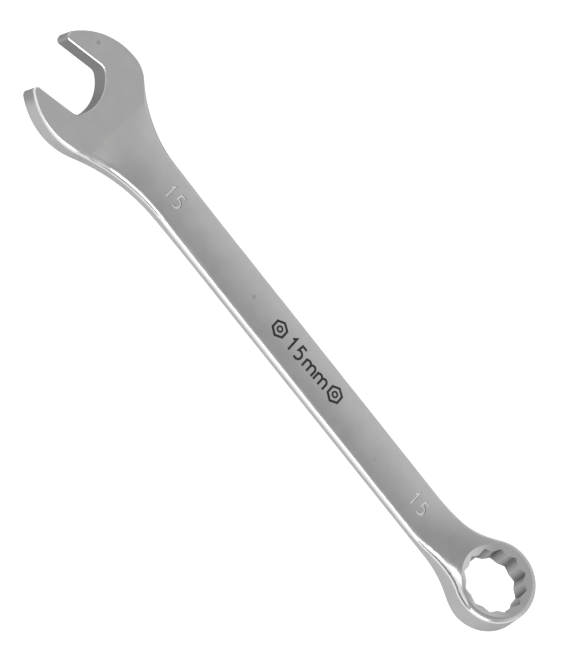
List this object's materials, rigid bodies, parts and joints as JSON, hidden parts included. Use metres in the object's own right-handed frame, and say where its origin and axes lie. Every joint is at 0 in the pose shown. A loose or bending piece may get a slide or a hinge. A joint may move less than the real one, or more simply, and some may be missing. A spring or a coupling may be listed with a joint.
{
  "type": "combination wrench",
  "caption": "Forged combination wrench in satin chrome: an open end set at an angle, a crowned shank with stamped and printed size marks, and a raised, angled twelve-point box end.",
  "frame": {"origin": "under the middle of the length, on the shank's centre line, level with the lower face of the open end, which lies on the table", "axes": "+X along the shank from the box end towards the open end, +Y to the side that the open end is turned to, +Z out of the upper face, the side that the box end is raised to"},
  "size_m": [0.1914, 0.0318, 0.0152],
  "materials": {
    "forged_steel": "satin chrome plate over chrome-vanadium steel, polished edges",
    "print_ink": "matt black printing ink"
  },
  "bodies": {
    "root": {"forged_body": "forged_steel", "size_print": "print_ink"}
  },
  "joints": []
}
